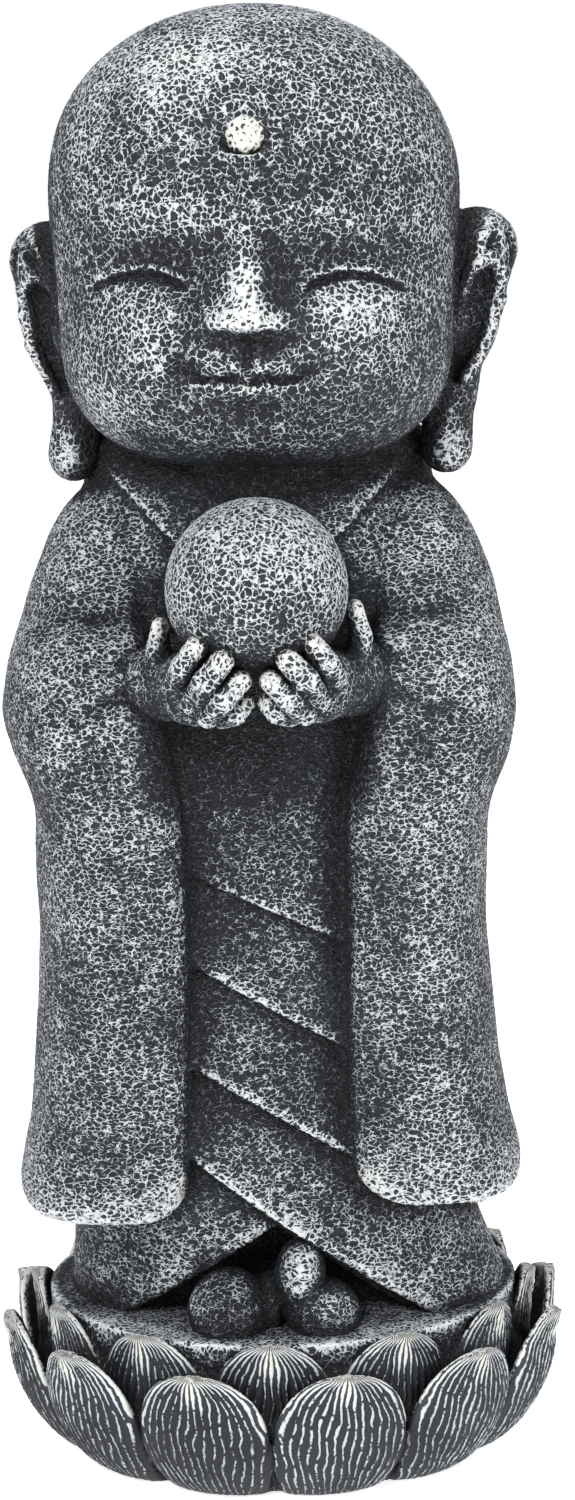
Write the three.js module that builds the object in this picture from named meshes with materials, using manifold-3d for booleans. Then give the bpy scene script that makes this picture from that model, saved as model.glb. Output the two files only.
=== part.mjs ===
// Cast-stone garden jizo: a smiling child monk holding a ball, standing on a lotus.
// One casting. Millimetres, +Z up, the figure faces -Y, origin in the middle of the underside.

import * as THREE from "three";
import { mergeVertices } from "three/addons/utils/BufferGeometryUtils.js";
import Module from "manifold-3d";

const wasm = await Module();
wasm.setup();

// ---------------------------------------------------------------- driving dimensions

const SIDES = [-1, 1];

const base = {
  height: 45, // top of the standing disc
  discRadius: 68,
  footRadius: 59,
  waistRadius: 73,
  petals: 12,
  firstPetal: 11.8, // degrees from the front, towards +X
};

const outerPetal = { width: 37, tipHeight: 40, footRadius: 60, tipRadius: 80.5, thickness: 6.5 };
const innerPetal = { width: 36, tipHeight: 46.5, footRadius: 56, tipRadius: 70.5, thickness: 6 };

const head = {
  x: -0.6,
  y: -4,
  turn: -2.4, // degrees; the face looks a little towards -X
  crown: 410,
  templeHeight: 358, // widest, where the crown starts to round over
  cheekHeight: 325, // where the jaw starts to round under
  chin: 282,
  templeHalfWidth: 57,
  cheekHalfWidth: 55,
  halfDepth: 54,
};

const headPower = 2.3; // squareness of the head seen from above
const crownPower = 2.2;
const jawPower = 2.75;
const napeTuck = 0.2; // how far the back of the head draws in towards the neck
const frontCrowding = 0.4;

const face = {
  dotHeight: 373,
  dotRadius: 5,
  eyeSpan: [15.4, 40], // inner and outer corner from the middle of the face
  eyeHeight: 332,
  eyeRise: 6,
  eyeGroove: 1.7,
  mouthHeight: 309,
  mouthHalfWidth: 15,
  mouthRise: 1.8,
  mouthGroove: 1.6,
};

const ear = { top: 351, bottom: 277, outer: 69.5, y: 6 };

const figure = { sway: -2.6, swayFrom: 45, swayTo: 76 };

const ball = { y: -56, z: 253, radius: 24.5 };

// Robe without its sleeves: height, half width, front, back.
const robeRings = [
  [43, 62, -46, 47],
  [62, 58.5, -45, 43],
  [100, 54, -42, 38],
  [150, 52, -40, 34.5],
  [205, 52, -39.5, 35],
  [235, 52, -39, 37],
  [255, 52, -36, 37],
  [268, 50, -31, 34],
  [278, 45, -26, 30],
  [287, 37, -20, 26],
];

// Upper arm, forearm and hanging sleeve: height, inner edge, outer edge, front, back.
const sleeveRings = [
  [72, 25, 70.5, -53, 27],
  [78, 22.5, 72.2, -54, 28],
  [99, 20.5, 67.7, -53, 24],
  [156, 20, 64, -52, 20],
  [186, 20.5, 65, -52, 20],
  [201, 23, 70.2, -52, 23],
  [214, 25, 72, -51.5, 26],
  [229, 26, 70.2, -49, 28],
  [238, 27, 67.6, -44, 29],
  [242, 28, 66.4, -36, 29.5],
  [250, 28, 64.6, -32, 30],
  [265, 26, 59, -24, 28],
  [274, 24, 53, -17, 26],
  [280, 24, 44, -10, 22],
];
const narrowerSleeve = 1.8; // the +X sleeve is a little narrower at both edges
const sleeveCorner = 4.6; // squareness of the inner front edge
const sleeveRound = 2.15; // roundness of the other edges

// Wrapped layers of the robe between the sleeves: height of each lower edge at the middle, its slope.
const wraps = [
  { edge: 162.5, slope: -0.47 },
  { edge: 135, slope: -0.57 },
  { edge: 105.5, slope: -0.6 },
  { edge: 76, slope: -0.74 },
];
const wrapTop = 206;
const wrapLift = 3.4; // how far a lower edge stands off the layer beneath it
const wrapHalfWidth = 34;

const skirtOpening = { apex: 74, left: -43, right: 41, depth: 15 };

// Collar bands, each between two lines from the neck down behind the ball: x and z on the +X side.
const lapel = {
  outer: { top: [43, 282], foot: [3, 244] },
  inner: { top: [21, 284], foot: [-9, 257] },
  lift: 2.6,
};

// ---------------------------------------------------------------- small tools

const { lerp, clamp } = THREE.MathUtils;
const radians = THREE.MathUtils.degToRad;
const smooth = (from, to, x) => {
  const t = clamp((x - from) / (to - from), 0, 1);
  return t * t * (3 - 2 * t);
};
const bulge = (x, z, x0, z0, width, height) => (
  Math.exp(-(((x - x0) / width) ** 2) - ((z - z0) / height) ** 2));
const signedPower = (value, power) => Math.sign(value) * Math.abs(value) ** power;

/** A three.js geometry as one closed skin, in which neighbouring faces share their corners. */
function closed(geometry) {
  geometry.deleteAttribute("normal");
  geometry.deleteAttribute("uv");
  return mergeVertices(geometry, 1e-4);
}

/** Moves every corner of a three.js geometry by a rule. */
function reshape(geometry, rule) {
  const skin = closed(geometry);
  const position = skin.attributes.position;
  const vertex = new THREE.Vector3();
  for (let i = 0; i < position.count; i += 1) {
    vertex.fromBufferAttribute(position, i);
    rule(vertex);
    position.setXYZ(i, vertex.x, vertex.y, vertex.z);
  }
  return skin;
}

/** A closed three.js geometry as a solid that can be joined and cut. */
function solid(geometry) {
  const merged = closed(geometry);
  return new wasm.Manifold(new wasm.Mesh({
    numProp: 3,
    vertProperties: new Float32Array(merged.attributes.position.array),
    triVerts: new Uint32Array(merged.index.array),
  }));
}

/** A skin over stacked rings, closed at both ends: point(ring, angle) is the wall, middle(ring) the axis. */
function loft(rings, sides, point, middle) {
  const walls = new THREE.CylinderGeometry(1, 1, 1, sides, rings.length - 1).rotateX(Math.PI / 2);
  return solid(reshape(walls, (v) => {
    const ring = rings[Math.round((v.z + 0.5) * (rings.length - 1))];
    const onWall = Math.hypot(v.x, v.y) > 0.5;
    v.copy(onWall ? point(ring, Math.atan2(v.y, v.x)) : middle(ring));
  }));
}

/** An ellipsoid, turned about the Y axis by tilt degrees. */
function pebble(x, y, z, rx, ry, rz, tilt = 0, sides = 10, rows = 7) {
  const shape = new THREE.SphereGeometry(1, sides, rows);
  shape.scale(rx, rz, ry).rotateX(Math.PI / 2).rotateY(radians(tilt)).translate(x, y, z);
  return solid(shape);
}

/** A round-ended limb from one point to another, with a radius at each end. */
function limb(from, to, fromRadius, toRadius, sides = 6) {
  const start = new THREE.Vector3(...from);
  const end = new THREE.Vector3(...to);
  const along = end.clone().sub(start).normalize();
  const turn = new THREE.Quaternion().setFromUnitVectors(new THREE.Vector3(0, 1, 0), along);
  return solid(reshape(new THREE.CapsuleGeometry(1, 1, 2, sides), (v) => {
    const near = v.y < 0;
    v.y += near ? 0.5 : -0.5;
    v.multiplyScalar(near ? fromRadius : toRadius).applyQuaternion(turn).add(near ? start : end);
  }));
}

/** A round-ended limb bent at a joint between its two ends. */
function bentLimb([from, joint, to], fromRadius, toRadius, sides = 6) {
  const path = [from, joint, to].map((p) => new THREE.Vector3(...p));
  const up = new THREE.Vector3(0, 1, 0);
  return solid(reshape(new THREE.CapsuleGeometry(1, 2, 2, sides, 2), (v) => {
    const near = clamp(Math.round(v.y), -1, 1) + 1;
    const radius = lerp(fromRadius, toRadius, near / 2);
    const along = path[Math.min(2, near + 1)].clone().sub(path[Math.max(0, near - 1)]).normalize();
    const turn = new THREE.Quaternion().setFromUnitVectors(up, along);
    v.y -= near - 1;
    v.multiplyScalar(radius).applyQuaternion(turn).add(path[near]);
  }));
}

/** A thin round rod along a smooth line through the points. */
function rod(points, radius, steps) {
  const section = new THREE.Shape().absarc(0, 0, radius, 0, 2 * Math.PI);
  const path = new THREE.CatmullRomCurve3(points.map((p) => new THREE.Vector3(...p)));
  return solid(new THREE.ExtrudeGeometry(section, { steps, curveSegments: 3, extrudePath: path }));
}

const join = (solids) => solids.reduce((whole, next) => whole.add(next));

/** The figure stands slightly off the middle of its base. */
const sway = (z) => figure.sway * smooth(figure.swayFrom, figure.swayTo, z);

// ---------------------------------------------------------------- lotus base

/** Share of a petal's full width at a share of its height: narrow foot, broad middle, blunt point. */
function petalBreadth(up) {
  const widest = 0.45;
  if (up < widest) return lerp(0.66, 1, Math.sin((Math.PI / 2) * (up / widest)));
  return Math.sqrt(1 - ((up - widest) / (1 - widest)) ** 2.6);
}

function petal(shape, degrees, sides, rows) {
  const blade = new THREE.SphereGeometry(1, sides, rows).rotateX(Math.PI / 2);
  const sunk = 2; // the foot of the blade reaches below the underside and is cut off flat
  return solid(reshape(blade, (v) => {
    const up = (v.z + 1) / 2;
    const breadth = Math.hypot(v.x, v.y);
    const across = breadth > 1e-6 ? v.x / breadth : 0;
    const out = breadth > 1e-6 ? v.y / breadth : 0;
    const halfWidth = (shape.width / 2) * petalBreadth(up) * Math.min(1, breadth * 3);
    const profile = lerp(shape.footRadius, shape.tipRadius, Math.sin((Math.PI / 2) * up) ** 0.8);
    const radius = profile - 0.012 * (across * halfWidth) ** 2 - out * shape.thickness * 0.5 * breadth ** 0.5;
    v.set(across * halfWidth, -radius, lerp(-sunk, shape.tipHeight, up));
  }).rotateZ(radians(degrees)));
}

function lotusBase() {
  const { height, discRadius, footRadius, waistRadius, petals, firstPetal } = base;
  const profile = [
    [0, -3],
    [footRadius - 1, -3],
    [footRadius, 0],
    [waistRadius - 4, 10],
    [waistRadius, 22],
    [discRadius, 36],
    [discRadius, height - 2],
    [discRadius - 2, height],
    [0, height],
  ].map(([r, z]) => new THREE.Vector2(r, z));
  const cup = solid(new THREE.LatheGeometry(profile, 24).rotateX(Math.PI / 2));
  const step = 360 / petals;
  const blades = Array.from({ length: petals }, (_, i) => firstPetal + i * step);
  const below = new THREE.BoxGeometry(300, 300, 20).translate(0, 0, -10);
  return join([
    cup,
    ...blades.map((a) => petal(innerPetal, a + step / 2, 7, 5)),
    ...blades.map((a) => petal(outerPetal, a, 8, 6)),
  ]).subtract(solid(below));
}

// ---------------------------------------------------------------- robe

/** Section of the robe at a height, between the two rings that it lies in. */
function robeAt(z) {
  const above = Math.max(1, robeRings.findIndex((ring) => ring[0] >= z));
  const low = robeRings[above - 1];
  const high = robeRings[above];
  const t = clamp((z - low[0]) / (high[0] - low[0]), 0, 1);
  return low.map((value, i) => lerp(value, high[i], t));
}

const robePower = 2.3;

/** Front of the robe at a place, as a Y value. */
function robeFront(x, z) {
  const [, halfWidth, front, back] = robeAt(z);
  const middle = (front + back) / 2;
  const share = Math.min(0.98, Math.abs(x / halfWidth));
  return middle + (front - middle) * (1 - share ** robePower) ** (1 / robePower);
}

function robeCore() {
  const middle = ([z, , front, back]) => new THREE.Vector3(sway(z), (front + back) / 2, z);
  return loft(robeRings, 26, (ring, angle) => {
    const [z, halfWidth, front, back] = ring;
    const x = halfWidth * signedPower(Math.cos(angle), 2 / robePower);
    const y = ((back - front) / 2) * signedPower(Math.sin(angle), 2 / robePower);
    return middle(ring).add(new THREE.Vector3(x, y, 0)).setZ(z);
  }, middle);
}

/** A layer laid on the front of the robe: place(u, v) gives x, z and how far it stands off there. */
function layer(columns, rows, place) {
  const slab = new THREE.BoxGeometry(1, 1, 1, columns, 1, rows);
  return solid(reshape(slab, (v) => {
    const [x, z, lift] = place(v.x + 0.5, v.z + 0.5);
    const y = robeFront(x, z) + (v.y < 0 ? -lift : 6);
    v.set(x + sway(z), y, z);
  }));
}

function wrapLayer(wrap, i) {
  const above = i > 0 ? wraps[i - 1] : { edge: wrapTop, slope: wrap.slope };
  return layer(6, 1, (u, v) => {
    const x = lerp(-wrapHalfWidth, wrapHalfWidth, u);
    const low = wrap.edge + wrap.slope * x;
    const high = above.edge + above.slope * x + 3;
    return [x, Math.max(46, lerp(low, high, v)), lerp(wrapLift + 0.9 * i, 0.2, v)];
  });
}

function lapelLayer(side) {
  const { outer, inner, lift } = lapel;
  return layer(1, 5, (u, v) => {
    const share = side > 0 ? 1 - u : u; // 0 on the outer edge
    const [x, z] = [0, 1].map((k) => lerp(
      lerp(outer.foot[k], outer.top[k], v),
      lerp(inner.foot[k], inner.top[k], v),
      share,
    ));
    return [side * x, z, lift];
  });
}

/** The robe parts over the feet in an upturned V. */
function openingCutter() {
  const { apex, left, right, depth } = skirtOpening;
  const wedge = new THREE.Shape();
  wedge.moveTo(0, apex);
  wedge.lineTo(left, base.height);
  wedge.lineTo(right, base.height);
  wedge.closePath();
  const cut = new THREE.ExtrudeGeometry(wedge, { depth: 40, bevelEnabled: false });
  const back = robeFront(0, 60) + depth;
  return solid(cut.rotateX(Math.PI / 2).translate(figure.sway, back, 0));
}

// ---------------------------------------------------------------- arms and sleeves

function sleeve(side) {
  const trim = side > 0 ? narrowerSleeve : 0;
  const rings = sleeveRings.map(([z, inner, outer, ...rest]) => [z, inner + trim, outer - trim, ...rest]);
  const middle = ([z, inner, outer, front, back]) => (
    new THREE.Vector3((side * (inner + outer)) / 2 + sway(z), (front + back) / 2, z));
  const hem = sleeveRings[0][0];
  return loft(rings, 18, (ring, angle) => {
    const [z, inner, outer, front, back] = ring;
    const c = Math.cos(angle) * side;
    const s = Math.sin(angle);
    const power = c < 0 && s < 0 ? sleeveCorner : sleeveRound;
    const across = ((outer - inner) / 2) * signedPower(c, 2 / power);
    const deep = ((back - front) / 2) * signedPower(s, 2 / power);
    const point = middle(ring).add(new THREE.Vector3(side * across, deep, 0));
    const fromOuter = (outer - inner) / 2 - across; // 0 at the outer edge
    if (z === hem) point.z += 16 * smooth(30, 46, fromOuter) * smooth(0, -30, deep);
    return point;
  }, middle);
}

// ---------------------------------------------------------------- hands, ball and feet

// One hand on the +X side: each finger's knuckle, middle joint and tip, from the index finger down.
const fingers = [
  [[25, -64, 229.5], [22, -71, 236], [16.3, -72.5, 241.5]],
  [[20.5, -68, 226], [16, -76, 232.5], [9.6, -76, 238.6]],
  [[15.5, -69, 222], [11, -75.5, 227], [4.6, -73, 232.4]],
  [[10.5, -66, 219.8], [7, -70, 222.5], [2.6, -67, 225.8]],
];
const thumb = [[27.5, -50, 229], [28.5, -53, 238], [25.5, -56, 246.5]];

function hand(side) {
  const at = ([x, y, z]) => [side * x + figure.sway, y, z];
  return join([
    limb(at([34, -36, 226]), at([19.5, -55, 226.5]), 11, 9, 10),
    pebble(...at([17.5, -62, 226]), 11.5, 10, 9, side * 25, 10, 7),
    ...fingers.map((points) => bentLimb(points.map(at), 3.8, 3.2)),
    bentLimb(thumb.map(at), 3.9, 3),
  ]);
}

function heldBall() {
  const round = new THREE.SphereGeometry(ball.radius, 18, 12).rotateX(Math.PI / 2);
  return solid(round.translate(figure.sway, ball.y, ball.z));
}

function feet() {
  return join([
    pebble(-17, -46, 48, 14, 16, 12, -8, 9, 6),
    pebble(5, -45, 57, 8.5, 13, 12, 10, 8, 6),
    pebble(11, -46, 47, 13.5, 16, 11, 10, 9, 6),
  ]);
}

// ---------------------------------------------------------------- head

/** Soft forms of the face, as a push towards the front. */
function faceRelief(x, z) {
  const a = Math.abs(x);
  const cheeks = 4.2 * bulge(a, z, 31, 314, 15, 15);
  const muzzle = 3.2 * bulge(a, z, 0, 309, 15, 11);
  const chin = 4.5 * bulge(a, z, 0, 291, 15, 8);
  const brow = 1.6 * bulge(a, z, 24, 350, 18, 9);
  const socket = -2.6 * bulge(a, z, 25, 338, 15, 9);
  const bridge = 5 * bulge(a, z, 0, 334, 8, 15);
  return cheeks + muzzle + chin + brow + socket + bridge;
}

/** Share of the full width that the head has at a height. */
function headReach(z) {
  const { crown, templeHeight, cheekHeight, chin } = head;
  const over = clamp((z - templeHeight) / (crown - templeHeight), 0, 1);
  const under = clamp((cheekHeight - z) / (cheekHeight - chin), 0, 1);
  return (1 - over ** crownPower) ** (1 / crownPower) * (1 - under ** jawPower) ** (1 / jawPower);
}

function headHalfWidth(z) {
  const { cheekHalfWidth, templeHalfWidth, cheekHeight, templeHeight } = head;
  return lerp(cheekHalfWidth, templeHalfWidth, smooth(cheekHeight, templeHeight, z)) * headReach(z);
}

/** Front of the head at a place, as a Y value, without the soft forms. */
function headFront(x, z) {
  const share = Math.min(1, Math.abs(x) / headHalfWidth(z));
  return -head.halfDepth * headReach(z) * (1 - share ** headPower) ** (1 / headPower);
}

/** Heights of the rings that round over from one height to an end, close together at the end. */
function roundedHeights(from, to, count) {
  const share = (i) => Math.sin((Math.PI / 2) * (i / count)) ** 0.85;
  return Array.from({ length: count }, (_, i) => lerp(from, to, share(i)));
}

function skull() {
  const { crown, templeHeight, cheekHeight, chin } = head;
  const jaw = roundedHeights(cheekHeight, chin, 7).reverse();
  const band = [333, 341, 349];
  const rings = [...jaw, ...band, ...roundedHeights(templeHeight, crown, 7)];
  const apex = (z) => new THREE.Vector3(0, 0, z < cheekHeight ? chin : crown);
  return loft(rings, 32, (z, angle) => {
    const fromFront = angle + Math.PI / 2;
    const turned = fromFront - frontCrowding * Math.sin(fromFront) - Math.PI / 2; // more faces in front
    const x = headHalfWidth(z) * signedPower(Math.cos(turned), 2 / headPower);
    const nape = 1 - napeTuck * clamp((templeHeight - z) / (templeHeight - chin), 0, 1) ** 2;
    const depth = head.halfDepth * headReach(z) * (turned > 0 ? nape : 1);
    const y = depth * signedPower(Math.sin(turned), 2 / headPower);
    return new THREE.Vector3(x, y - faceRelief(x, z) * smooth(0, -40, y), z);
  }, apex);
}

/** A groove carved along a line of the face; curve(t) gives x and z for t from -1 to 1. */
function faceGroove(curve, radius, depth) {
  const points = Array.from({ length: 7 }, (_, i) => {
    const [x, z] = curve(i / 3 - 1);
    return [x, headFront(x, z) - faceRelief(x, z) + depth, z];
  });
  return rod(points, radius, 6);
}

function eyeGroove(side) {
  const [inner, outer] = face.eyeSpan;
  const line = (t) => [
    side * lerp(inner, outer, (t + 1) / 2),
    face.eyeHeight + face.eyeRise * (1 - t * t),
  ];
  return faceGroove(line, face.eyeGroove, -0.4);
}

function mouthGroove() {
  const line = (t) => [t * face.mouthHalfWidth, face.mouthHeight + face.mouthRise * t * t];
  return faceGroove(line, face.mouthGroove, 0.2);
}

function nose() {
  return join([
    limb([0, -55.5, 341], [0, -61, 326.5], 3.4, 6.3, 8),
    ...SIDES.map((side) => pebble(side * 6.2, -57, 323.8, 3.9, 5.5, 3.6, 0, 8, 6)),
  ]);
}

function earShell(side) {
  const { top, bottom, outer, y } = ear;
  const upperMiddle = top - 24;
  const shell = join([
    pebble(side * (outer - 9.5), y, upperMiddle, 9, 13, 25, side * 10, 12, 8),
    pebble(side * (outer - 14.5), y - 1, bottom + 17, 7.2, 10, 17.5, side * 4, 8, 6),
  ]);
  const hollow = pebble(side * (outer - 7.5), y - 12, upperMiddle - 1, 5.2, 9, 17, side * 11, 8, 6);
  return shell.subtract(hollow);
}

function wholeHead() {
  const { dotHeight, dotRadius } = face;
  const dot = pebble(0, headFront(0, dotHeight) + 0.6, dotHeight, dotRadius, 2.6, dotRadius);
  const carved = SIDES.reduce((form, side) => form.subtract(eyeGroove(side)), join([skull(), nose(), dot]));
  const finished = join([carved.subtract(mouthGroove()), ...SIDES.map(earShell)]);
  return finished.rotate([0, 0, head.turn]).translate([head.x, head.y, 0]);
}

// ---------------------------------------------------------------- the casting

function jizoStatue() {
  const neck = pebble(-1.5, -2, 280, 30, 27, 18, 0, 20, 8);
  const layers = [...wraps.map(wrapLayer), ...SIDES.map(lapelLayer)];
  const robe = join([robeCore(), ...layers]).subtract(openingCutter());
  return join([
    lotusBase(),
    robe,
    ...SIDES.map(sleeve),
    ...SIDES.map(hand),
    heldBall(),
    feet(),
    neck,
    wholeHead(),
  ]);
}

function meshOf(manifold, name, material) {
  const { vertProperties, triVerts } = manifold.getMesh();
  const geometry = new THREE.BufferGeometry();
  geometry.setAttribute("position", new THREE.Float32BufferAttribute(vertProperties, 3));
  geometry.setIndex(new THREE.BufferAttribute(new Uint32Array(triVerts), 1));
  geometry.computeVertexNormals();
  const mesh = new THREE.Mesh(geometry, material);
  mesh.name = name;
  return mesh;
}

const stone = new THREE.MeshStandardMaterial({ color: 0x5d6068, roughness: 0.85, metalness: 0 });

const group = new THREE.Group();
group.add(meshOf(jizoStatue(), "jizo_statue", stone));

export default group;
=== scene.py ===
"""Cast-stone garden jizo: its hammered, drybrushed surface, and a plain studio round it.

Each form is worked out as a distance field in millimetres, in the statue's own frame, then skinned.
"""
import math

import bpy
import numpy as np
import openvdb
from mathutils import Matrix, Vector


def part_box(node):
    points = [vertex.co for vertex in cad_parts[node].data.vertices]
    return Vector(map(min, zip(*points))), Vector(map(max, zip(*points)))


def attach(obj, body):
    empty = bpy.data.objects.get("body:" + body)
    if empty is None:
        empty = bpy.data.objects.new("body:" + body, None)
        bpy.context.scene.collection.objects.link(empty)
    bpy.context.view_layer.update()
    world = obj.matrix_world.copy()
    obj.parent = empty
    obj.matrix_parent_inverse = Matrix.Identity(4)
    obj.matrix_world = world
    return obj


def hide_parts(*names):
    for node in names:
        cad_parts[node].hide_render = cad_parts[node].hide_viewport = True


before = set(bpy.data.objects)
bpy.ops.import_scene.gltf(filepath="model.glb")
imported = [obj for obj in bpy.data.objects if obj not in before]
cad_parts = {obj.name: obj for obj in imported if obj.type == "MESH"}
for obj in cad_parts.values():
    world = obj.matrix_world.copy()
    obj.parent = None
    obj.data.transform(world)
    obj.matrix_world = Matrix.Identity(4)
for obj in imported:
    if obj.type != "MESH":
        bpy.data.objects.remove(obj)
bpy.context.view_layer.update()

MM = 0.001
NODE = "jizo_statue"
FACE_LIMIT = 196000  # triangles in one piece
COARSE = 1.0
SIDES = (-1, 1)
TINY = 1e-4  # keeps a division away from zero

statue_high = np.array(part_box(NODE)[1]) / MM

# ---------------------------------------------------------------- sizes, in millimetres

UNDERSIDE = 0.12  # room for the hammered relief, here and in the next two
CROWN = float(statue_high[2]) - 0.35
BASE_HALF = statue_high[0] - 0.12
DISC_TOP = 45.0
CUP_PROFILE = ((0, 52), (4, 60), (12, 69), (22, 73), (36, 68), (45, 68))  # height, radius

PETALS = 12
FIRST_PETAL = 11.8  # degrees from the front, towards +X
OUTER_PETAL = dict(width=37.5, tip_height=40.0, foot=51.0, tip=79.2, thickness=6.5, curl=1.7)
INNER_PETAL = dict(width=36.0, tip_height=46.5, foot=50.0, tip=70.5, thickness=6.0, curl=0.8)
PETAL_RISE = 0.44  # how soon a petal turns upright, as a power
PETAL_BEND = 0.012  # how far its sides fall back, for the square of the distance across
PETAL_WIDEST = 0.45  # share of its height
PETAL_POWER = 2.5
RIBS = 8.0  # raised lines on each half of a petal

TEMPLE = 358.0
CHEEK = 325.0
CHIN = 282.0
TEMPLE_HALF = 57.0
CHEEK_HALF = 55.0
HALF_DEPTH = 54.0
HEAD_POWER = 2.3
CROWN_POWER = 2.1
JAW_POWER = 2.75
NAPE_TUCK = 0.2
HEAD_PLACE = (-0.6, -4.0)
HEAD_TURN = -2.4  # degrees
CROWN_LEAN = -0.8
FACE_SHIFT = -0.7
FACE_TILT = 0.0244
DOT_HEIGHT = 373.0
NOSTRIL = (5.6, 321.0)

SWAY = -2.6
SWAY_FROM, SWAY_TO = 45.0, 76.0

BALL = dict(y=-56.0, z=253.0, radius=24.5)

# Height, half width, front, back.
ROBE_RINGS = np.array([
    [43, 62, -46, 47],
    [62, 58.5, -45, 43],
    [100, 54, -42, 38],
    [150, 52, -40, 34.5],
    [205, 52, -39.5, 35],
    [235, 52, -39, 37],
    [255, 52, -36, 37],
    [268, 50, -31, 34],
    [278, 45, -26, 30],
    [288, 36, -19, 25],
], dtype=float)
ROBE_POWER = 2.3
HEM = 42.5
SHOULDER_TOP = 287.0
NECK = ((-1.5, -4, 262), (-1.5, -6, 290), 24, 25)
NAPE = ((34, 8, 266), (40, 9, 284), 16, 10)  # the collar's high part, on either side of the neck
FOLD_WIDTH = 7.3

# Height, inner edge, outer edge, front, back.
SLEEVE_RINGS = np.array([
    [72, 25, 70.5, -53, 27],
    [78, 22.5, 72.2, -54, 28],
    [99, 20.5, 67.7, -53, 24],
    [156, 20, 64, -52, 20],
    [186, 20.5, 65, -52, 20],
    [201, 23, 70.2, -52, 23],
    [214, 25, 72, -51.5, 26],
    [229, 26, 70.2, -49, 28],
    [238, 27, 67.6, -44, 29],
    [242, 28, 66.4, -36, 29.5],
    [250, 28, 64.6, -32, 30],
    [265, 26, 59, -24, 28],
    [274, 24, 53, -17, 26],
    [281, 24, 43, -9, 21],
], dtype=float)
SLEEVE_CORNER = 5.0
SLEEVE_ROUND = 2.15

# What the cast is fuller or leaner by on each side: height, change of the outer edge.
LEFT_FULLNESS = (
    (72, 0), (91, 0.8), (104, 0.2), (135, -0.6), (170, -0.3), (182, -0.8), (188, -2.0), (194, -2.8),
    (200, -2.4), (205, -1.2), (211, -0.3), (216, 0.8), (235, 0.4), (258, -0.8), (281, -0.8),
)
RIGHT_FULLNESS = (
    (72, 1.2), (80, 1.4), (92, 1.1), (104, 0.2), (116, -1.0), (150, -1.6), (194, -1.4),
    (199, -0.6), (211, 0.2), (223, 0.6), (235, 1.0), (246, 2.2), (258, 2.2), (281, 1.4),
)
# The same for the inner edge.
LEFT_INNER = ((72, 0), (281, 0))
RIGHT_INNER = ((72, 0.5), (110, 0.2), (150, 1.8), (281, 1.8))

# Sleeve hems: lowest height, then width and height of the rounded inner and outer corners.
LEFT_HEM = dict(low=76.3, inner=(12, 12), outer=(9, 6))
RIGHT_HEM = dict(low=80.0, inner=(18, 12), outer=(8, 8))

WRAPS = ((162.5, -0.47), (135.0, -0.57), (105.5, -0.60), (76.0, -0.74))  # edge at the middle, slope
WRAP_TOP = 206.0
WRAP_LIFT = 3.4
OPENING = dict(apex=72.4, left=-43.0, right=38.0, back=-30.0)

# ---------------------------------------------------------------- fields


FAR = 99.0


class Form:
    """A distance field on a regular block of points."""

    def __init__(self, low, high, step):
        self.step = step
        self.low = np.array(low, dtype=np.float32)
        counts = [int(math.ceil((b - a) / step)) + 1 for a, b in zip(low, high)]
        lines = [np.arange(count, dtype=np.float32) * step + a for a, count in zip(low, counts)]
        self.x = lines[0][:, None, None]
        self.y = lines[1][None, :, None]
        self.z = lines[2][None, None, :]
        self.lines = lines
        self.field = np.full(counts, FAR, dtype=np.float32)

    def blank(self):
        """An empty form on the same block of points."""
        return Form(self.low, self.low + (np.array(self.field.shape) - 1.5) * self.step, self.step)

    def part(self, low, high):
        """The slices and coordinates of a smaller box inside the block."""
        view = tuple(
            slice(int(np.searchsorted(line, a)), int(np.searchsorted(line, b)) + 1)
            for line, a, b in zip(self.lines, low, high)
        )
        return view, (self.x[view[0]], self.y[:, view[1]], self.z[:, :, view[2]])

    def add(self, low, high, shape, blend=0.6):
        view, at = self.part(low, high)
        self.field[view] = fuse(self.field[view], shape(*at), blend)

    def cut(self, low, high, shape, blend=0.6):
        view, at = self.part(low, high)
        self.field[view] = keep(self.field[view], -shape(*at), blend)

    def sample(self, points):
        """The field at any points, by linear mixing of its eight neighbours."""
        return sample_grid(self.field, self.low, self.step, points, FAR)


def sample_grid(grid, low, step, points, outside):
    """A grid's values at any points, and one value for all points that lie off it."""
    place = (points - low) / step
    limit = np.array(grid.shape) - 1
    inside = np.all((place >= 0) & (place < limit), axis=1)
    result = np.full(len(points), outside, dtype=np.float32)
    place = place[inside]
    cell = place.astype(np.int32)
    share = (place - cell).astype(np.float32)
    total = np.zeros(len(place), dtype=np.float32)
    for corner in range(8):
        step_on = np.array([corner & 1, (corner >> 1) & 1, (corner >> 2) & 1])
        index = cell + step_on
        weight = np.prod(np.where(step_on, share, 1 - share), axis=1)
        total += weight * grid[index[:, 0], index[:, 1], index[:, 2]]
    result[inside] = total
    return result


def smooth(start, end, value):
    t = np.clip((value - start) / (end - start), 0, 1)
    return t * t * (3 - 2 * t)


def mix(a, b, share):
    return a + (b - a) * share


def bump(x, z, x0, z0, width, height):
    """A soft mound in the front view, 1 at its middle."""
    return np.exp(-(((x - x0) / width) ** 2) - ((z - z0) / height) ** 2)


def fuse(a, b, blend):
    """Joins two fields, with a fillet."""
    near = np.maximum(blend - np.abs(a - b), 0) / blend
    return np.minimum(a, b) - near * near * blend * 0.25


def keep(a, b, blend):
    """Keeps what lies in both fields, with a rounded edge."""
    near = np.maximum(blend - np.abs(a - b), 0) / blend
    return np.maximum(a, b) + near * near * blend * 0.25


def limb(start, end, start_radius, end_radius):
    """A round-ended limb between two points."""
    a = np.array(start, dtype=np.float32)
    along = np.array(end, dtype=np.float32) - a
    length2 = float(along @ along)

    def shape(x, y, z):
        t = ((x - a[0]) * along[0] + (y - a[1]) * along[1] + (z - a[2]) * along[2]) / length2
        t = np.clip(t, 0, 1)
        dx, dy, dz = x - a[0] - t * along[0], y - a[1] - t * along[1], z - a[2] - t * along[2]
        return np.sqrt(dx * dx + dy * dy + dz * dz) - mix(start_radius, end_radius, t)

    return shape


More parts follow.
